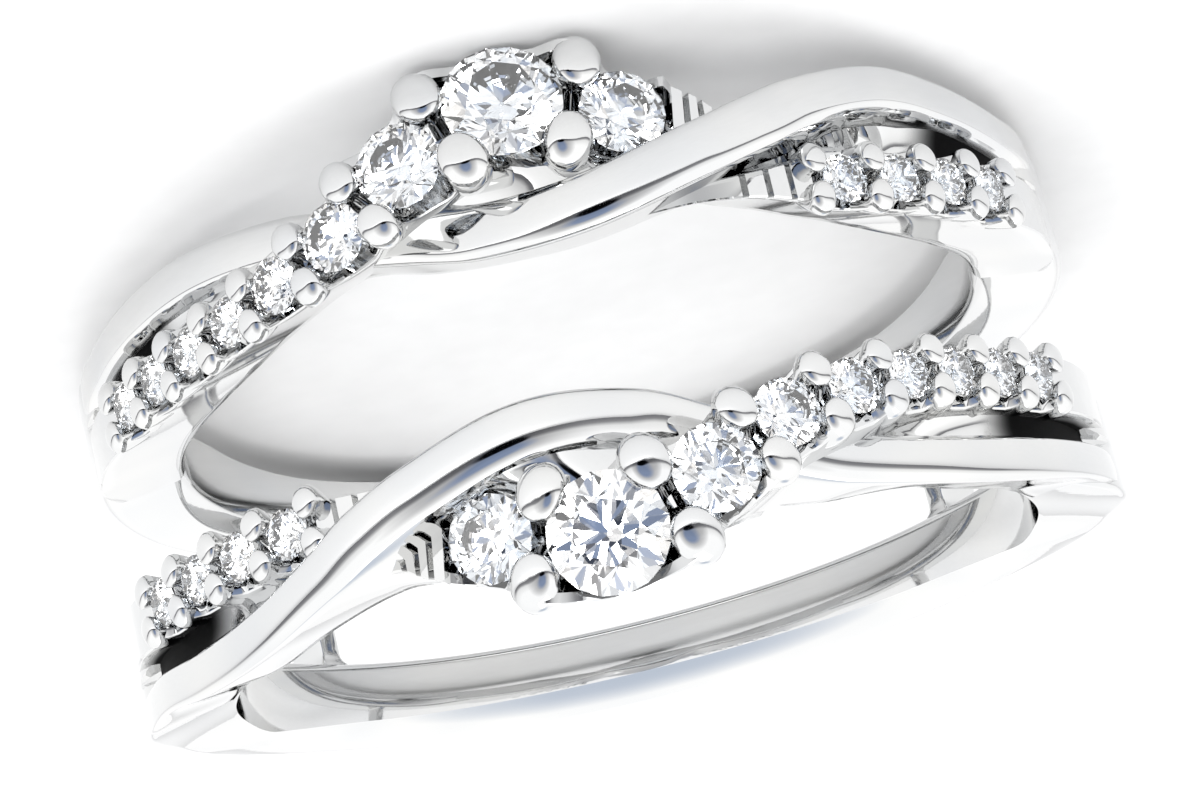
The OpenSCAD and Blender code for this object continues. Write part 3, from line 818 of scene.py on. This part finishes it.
def bridge_bar(side):
    turn = math.radians(side * BRIDGE_ANGLE)
    spin = np.array([[math.cos(turn), -math.sin(turn), 0], [math.sin(turn), math.cos(turn), 0], [0, 0, 1]])
    rings = []
    for z in np.linspace(-SHANK_MID, SHANK_MID, BAR_STATIONS):
        near_wall = max(0.0, min(1.0, 1 - (SHANK_GAP / 2 - abs(z)) / BAR_FLARE_LENGTH))
        flare = BAR_FLARE * near_wall**2
        w, t = BRIDGE_W / 2 + flare, BRIDGE_T / 2 + flare
        ring = []
        for i in range(BAR_SIDES):
            a = 2 * math.pi * (i + 0.5) / BAR_SIDES
            ring.append(spin @ np.array([w * squared(math.cos(a)),
                                         -(BORE_R + SHANK_R) / 2 + t * squared(math.sin(a)), z]))
        rings.append(ring)
    return sweep(rings)


# Materials
def srgb(code):
    """Linear colour of an sRGB hex value."""
    parts = [int(code[i:i + 2], 16) / 255 for i in (1, 3, 5)]
    return tuple(c / 12.92 if c <= 0.04045 else ((c + 0.055) / 1.055) ** 2.4 for c in parts) + (1.0,)


def add_node(tree, kind, inputs=None, links=None, **settings):
    """Adds a node with its settings, its socket values and its links from other nodes' outputs."""
    node = tree.nodes.new(kind)
    for key, value in settings.items():
        setattr(node, key, value)
    for key, value in (inputs or {}).items():
        node.inputs[key].default_value = value
    for key, source in (links or {}).items():
        tree.links.new(source, node.inputs[key])
    return node


def ramp(node, stops):
    """Sets a colour ramp's stops, as (place, colour)."""
    band = node.color_ramp
    while len(band.elements) > 1:
        band.elements.remove(band.elements[-1])
    band.elements[0].position, band.elements[0].color = stops[0][0], stops[0][1]
    for at, colour in stops[1:]:
        band.elements.new(at).color = colour
    return node


def new_material(name):
    material = bpy.data.materials.new(name)
    material.use_nodes = True
    material.node_tree.nodes.clear()
    return material, material.node_tree


# Rhodium-plated white gold, buffed to a mirror: bright neutral reflections, softened by hairlines and by
# faint ripples that the buffing wheel leaves. Deep in the grooves the colour is painted near black, and made
# rougher, as painted shade standing in for the grooves' dark reflections.
HAIRLINE_MM = 0.05
RIPPLE_MM, RIPPLE_HEIGHT_MM = 2.5, 0.004
POLISHED_ROUGHNESS, HAIRLINE_ROUGHNESS, RECESS_ROUGHNESS = 0.03, 0.06, 0.7


def polished_rhodium_white_gold():
    material, tree = new_material("rhodium_plated_polished_white_gold")
    space = add_node(tree, "ShaderNodeTexCoord")
    hairlines = add_node(tree, "ShaderNodeTexNoise", {"Scale": 1 / (HAIRLINE_MM * MM), "Detail": 2.0},
                         {"Vector": space.outputs["Object"]})
    ripples = add_node(tree, "ShaderNodeTexNoise", {"Scale": 1 / (RIPPLE_MM * MM), "Detail": 1.0},
                       {"Vector": space.outputs["Object"]})
    tone = ramp(add_node(tree, "ShaderNodeValToRGB", links={"Fac": ripples.outputs["Fac"]}),
                [(0.3, srgb("#D0D1D2")), (0.7, srgb("#D7D7D6"))])
    # Painted shade: where the per-vertex shade attribute is high, the base colour is mixed to near black
    # #050506 and the roughness is raised
    painted_shade = add_node(tree, "ShaderNodeAttribute", attribute_name="painted_shade")
    colour = add_node(tree, "ShaderNodeMixRGB", {"Color2": srgb("#050506")},
                      {"Fac": painted_shade.outputs["Fac"], "Color1": tone.outputs["Color"]})
    gloss = add_node(tree, "ShaderNodeMapRange",
                     {"From Min": 0.3, "From Max": 0.7, "To Min": POLISHED_ROUGHNESS,
                      "To Max": HAIRLINE_ROUGHNESS},
                     {"Value": hairlines.outputs["Fac"]})
    rough = add_node(tree, "ShaderNodeMath", {1: RECESS_ROUGHNESS},
                     {0: painted_shade.outputs["Fac"], 2: gloss.outputs["Result"]}, operation="MULTIPLY_ADD")
    bump = add_node(tree, "ShaderNodeBump", {"Strength": 0.15, "Distance": RIPPLE_HEIGHT_MM * MM},
                    {"Height": ripples.outputs["Fac"]})
    metal = add_node(tree, "ShaderNodeBsdfPrincipled", {"Metallic": 1.0},
                     {"Base Color": colour.outputs["Color"], "Roughness": rough.outputs["Value"],
                      "Normal": bump.outputs["Normal"]})
    add_node(tree, "ShaderNodeOutputMaterial", links={"Surface": metal.outputs["BSDF"]})
    return material


# Brilliant-cut diamond: clear, with hard sparkle from facets. Each facet's tint differs a little, from
# bluish to warm, as the colours that a diamond splits light into do.
def brilliant_cut_diamond():
    material, tree = new_material("brilliant_cut_diamond")
    shape = add_node(tree, "ShaderNodeNewGeometry")
    fire = add_node(tree, "ShaderNodeTexNoise", {"Scale": 3.0, "Detail": 0.0},
                    {"Vector": shape.outputs["True Normal"]})
    tint = ramp(add_node(tree, "ShaderNodeValToRGB", links={"Fac": fire.outputs["Fac"]}),
                [(0.35, srgb("#DDE7F3")), (0.5, srgb("#F6F9FC")), (0.65, srgb("#F3F0EC"))])
    stone = add_node(tree, "ShaderNodeBsdfPrincipled",
                     {"Transmission Weight": 1.0, "IOR": 2.417, "Roughness": 0.0},
                     {"Base Color": tint.outputs["Color"]})
    add_node(tree, "ShaderNodeOutputMaterial", links={"Surface": stone.outputs["BSDF"]})
    return material


# Matt white paint of the studio's table, with a faint grain
PAINT_GRAIN_MM = 0.8


def matt_studio_paint():
    material, tree = new_material("matt_white_studio_floor")
    space = add_node(tree, "ShaderNodeTexCoord")
    grain = add_node(tree, "ShaderNodeTexNoise", {"Scale": 1 / (PAINT_GRAIN_MM * MM), "Detail": 2.0},
                     {"Vector": space.outputs["Object"]})
    tone = ramp(add_node(tree, "ShaderNodeValToRGB", links={"Fac": grain.outputs["Fac"]}),
                [(0.3, srgb("#D1D1D1")), (0.7, srgb("#D4D4D4"))])
    paint = add_node(tree, "ShaderNodeBsdfPrincipled", {"Roughness": 0.9},
                     {"Base Color": tone.outputs["Color"]})
    add_node(tree, "ShaderNodeOutputMaterial", links={"Surface": paint.outputs["BSDF"]})
    return material


WHITE_GOLD = polished_rhodium_white_gold()
DIAMOND = brilliant_cut_diamond()

# The ring; the web is cut for the first three stones of the head's run
metal_piece("shank", *shank())
metal_piece("plain_rail", *plain_rail())
for name, rail, stones in (("far_set_rail", far_rail(), far_run), ("head_set_rail", head_rail(), head_run),
                           ("web", web(), head_run[:3])):
    for piece, (band, turn) in zip(metal_piece(name, *rail), BANDS):
        cut_seats(piece, turn, stones)
metal_piece("far_groove_floor", *groove_floor(FAR_ROUTE, FAR_FOOT_R, far_widths, *FAR_FLOOR))
metal_piece("head_groove_floor", *groove_floor(HEAD_ROUTE, HEAD_FOOT_R, head_widths, *HEAD_FLOOR))
metal_piece("claws", *claws(), crease=CLAW_CREASE)

# Each bar joins both bands, so it is made once
for side, place_name in ((-1, "left"), (1, "right")):
    metal_piece(f"bridge_bar_{place_name}", *bridge_bar(side), crease=BAR_CREASE, bands=BANDS[:1])

for name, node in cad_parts.items():
    if "stone" in name:
        for slot in node.material_slots:
            slot.link = "OBJECT"
            slot.material = DIAMOND


# Studio floor
FLOOR_HALF_M = 1.5


def add_floor():
    corners = [(x * FLOOR_HALF_M, y * FLOOR_HALF_M, cad_box[0].z)
               for x, y in ((-1, -1), (1, -1), (1, 1), (-1, 1))]
    mesh = bpy.data.meshes.new("studio_floor")
    mesh.from_pydata(corners, [], [(0, 1, 2, 3)])
    mesh.materials.append(matt_studio_paint())
    floor = bpy.data.objects.new("studio_floor", mesh)
    bpy.context.scene.collection.objects.link(floor)


add_floor()

# The photograph's camera, in its own axes on the ring: across the picture, towards the head and along
# the bore. The ring's own axes are the first two turned about.
CAMERA_DISTANCE = 80.0
VIEW_SIDE, VIEW_RISE, VIEW_ROLL = (math.radians(a) for a in (0.60, 15.53, 13.97))
CENTRE_OFF_X, CENTRE_OFF_Y = -0.0618, -1.491
LENS, SENSOR_W = 112.65, 36


def photo_axis(across, head, bore):
    return LYING.to_3x3() @ Vector((-across, -head, bore))


def add_camera():
    level = Vector((math.sin(VIEW_SIDE), math.cos(VIEW_SIDE), 0))
    back = Vector((level.x * math.cos(VIEW_RISE), level.y * math.cos(VIEW_RISE), math.sin(VIEW_RISE)))
    right = Vector((math.cos(VIEW_SIDE), -math.sin(VIEW_SIDE), 0))
    down = Vector((-level.x * math.sin(VIEW_RISE), -level.y * math.sin(VIEW_RISE), math.cos(VIEW_RISE)))
    rolled_right = right * math.cos(VIEW_ROLL) + down * math.sin(VIEW_ROLL)
    rolled_down = down * math.cos(VIEW_ROLL) - right * math.sin(VIEW_ROLL)
    x, y, z = (photo_axis(*v) for v in (rolled_right, -rolled_down, back))
    data = bpy.data.cameras.new("photo_camera")
    data.lens = LENS
    data.sensor_width = SENSOR_W
    data.clip_start, data.clip_end = 0.001, 20
    camera = bpy.data.objects.new("photo_camera", data)
    bpy.context.scene.collection.objects.link(camera)
    camera.matrix_world = Matrix((x, y, z)).transposed().to_4x4()
    camera.location = (z * CAMERA_DISTANCE + x * CENTRE_OFF_X - y * CENTRE_OFF_Y) * MM
    bpy.context.scene.camera = camera


add_camera()


# Lamps; the front one brightens the floor and isn't mirrored in the metal
def soft_box(name, place_mm, size_mm, watts, mirrored):
    data = bpy.data.lights.new(name, "AREA")
    data.shape = "SQUARE"
    data.size = size_mm * MM
    data.energy = watts
    light = bpy.data.objects.new(name, data)
    bpy.context.scene.collection.objects.link(light)
    light.location = Vector(place_mm) * MM
    light.rotation_mode = "QUATERNION"
    light.rotation_quaternion = (-Vector(place_mm)).to_track_quat("-Z", "Y")
    light.visible_glossy = mirrored


soft_box("overhead_soft_box", (-20, -10, 260), 180, 0.12, mirrored=True)
soft_box("front_soft_box", (90, -230, 120), 170, 0.9, mirrored=False)

# White tent round the ring, with a dim stripe along the table's edge that fades towards the back. Round
# openings are given by their centre, as (side angle, rise), their radius and half their soft edge's
# width: the one in front shows the dim room, bluish against the lamps and with haze round it, and the
# one behind is paler. A gap below the front one, an oval, shows black.
TENT_STRENGTH = 1.5
WHITE = (1, 1, 1, 1)
STRIPE = [(0.0, (0.16, 0.16, 0.17, 1)), (0.06, (0.25, 0.25, 0.26, 1)), (0.13, (0.8, 0.8, 0.8, 1)),
          (0.35, WHITE)]
STRIPE_FADE_START, STRIPE_FADE_END, STRIPE_MOST_FADE = 0.1, 0.7, 0.85
BACK_WHITE = (0.95, 0.95, 0.95, 1)
ROOM_CENTRE, ROOM_RADIUS, ROOM_EDGE = (4.0, 18.0), 16, 5
HAZE_RADIUS, HAZE_GREY = 42, (0.5, 0.5, 0.51, 1)
ROOM_BLUE, WINDOW_BLUE = srgb("#7F8DA8"), srgb("#BFC8D6")
WINDOW_CENTRE, WINDOW_RADIUS, WINDOW_EDGE = (180.0, 45.0), 9, 6
GAP_CENTRE, GAP_SIZE = (2.0, 4.0), (14, 4.5)
GAP_SHADE = [(0.0, (0.01, 0.01, 0.01, 1)), (0.55, (0.02, 0.02, 0.02, 1)), (1.0, WHITE)]


def towards(side_angle, rise_angle):
    """Direction on the horizon turned from the front, -Y, towards +X, and raised."""
    side, rise = math.radians(side_angle), math.radians(rise_angle)
    return Vector((math.sin(side) * math.cos(rise), -math.cos(side) * math.cos(rise), math.sin(rise)))


def dot_with(tree, space, direction):
    """Node for how far the light's direction points the given way."""
    return add_node(tree, "ShaderNodeVectorMath", {1: direction}, {0: space.outputs["Generated"]},
                    operation="DOT_PRODUCT")


def round_opening(tree, facing, radius, edge, around, colours):
    """Node for an opening's colour: around holds the stops outside it, and colours are those at its outer
    and its inner edge."""
    edges = [math.cos(math.radians(radius + s * edge)) for s in (1, -1)]
    return ramp(add_node(tree, "ShaderNodeValToRGB", links={"Fac": facing.outputs["Value"]}),
                around + list(zip(edges, colours)))


def light_tent():
    world = bpy.data.worlds.new("light_tent")
    bpy.context.scene.world = world
    world.use_nodes = True
    tree = world.node_tree
    tree.nodes.clear()
    space = add_node(tree, "ShaderNodeTexCoord")
    apart = add_node(tree, "ShaderNodeSeparateXYZ", links={"Vector": space.outputs["Generated"]})
    stripe = ramp(add_node(tree, "ShaderNodeValToRGB", links={"Fac": apart.outputs["Z"]}), STRIPE)
    behind = add_node(tree, "ShaderNodeMapRange",
                      {"From Min": STRIPE_FADE_START, "From Max": STRIPE_FADE_END, "To Min": 0.0,
                       "To Max": STRIPE_MOST_FADE},
                      {"Value": apart.outputs["Y"]})
    tent = add_node(tree, "ShaderNodeMixRGB", {"Color2": BACK_WHITE},
                    {"Fac": behind.outputs["Result"], "Color1": stripe.outputs["Color"]})
    haze_edge = math.cos(math.radians(HAZE_RADIUS))
    to_room = dot_with(tree, space, towards(*ROOM_CENTRE))
    room = round_opening(tree, to_room, ROOM_RADIUS, ROOM_EDGE, [(0.0, WHITE), (haze_edge, WHITE)],
                         (HAZE_GREY, ROOM_BLUE))
    to_window = dot_with(tree, space, towards(*WINDOW_CENTRE))
    window = round_opening(tree, to_window, WINDOW_RADIUS, WINDOW_EDGE, [(0.0, WHITE)], (WHITE, WINDOW_BLUE))
    # The gap's oval: the squared distance from its centre, in front of the ring only
    middle = towards(*GAP_CENTRE)
    level = Vector((0, 0, 1)).cross(middle).normalized()
    squares = []
    for axis, size in zip((level, middle.cross(level).normalized()), GAP_SIZE):
        off = dot_with(tree, space, axis / math.sin(math.radians(size)))
        squares.append(add_node(tree, "ShaderNodeMath", {1: 2.0}, {0: off.outputs["Value"]},
                                operation="POWER"))
    away = add_node(tree, "ShaderNodeMath", links={0: squares[0].outputs[0], 1: squares[1].outputs[0]},
                    operation="ADD")
    elsewhere = add_node(tree, "ShaderNodeMath", {1: 0.5}, {0: to_room.outputs["Value"]},
                         operation="LESS_THAN")
    oval = add_node(tree, "ShaderNodeMath", links={0: away.outputs[0], 1: elsewhere.outputs[0]},
                    operation="ADD")
    gap = ramp(add_node(tree, "ShaderNodeValToRGB", links={"Fac": oval.outputs[0]}), GAP_SHADE)
    colour = tent.outputs["Color"]
    for part in (room, gap, window):
        colour = add_node(tree, "ShaderNodeMixRGB", {"Fac": 1.0},
                          {"Color1": colour, "Color2": part.outputs["Color"]},
                          blend_type="MULTIPLY").outputs["Color"]
    light = add_node(tree, "ShaderNodeBackground", {"Strength": TENT_STRENGTH}, {"Color": colour})
    add_node(tree, "ShaderNodeOutputWorld", links={"Surface": light.outputs["Background"]})


light_tent()
bpy.context.scene.view_settings.view_transform = "Standard"
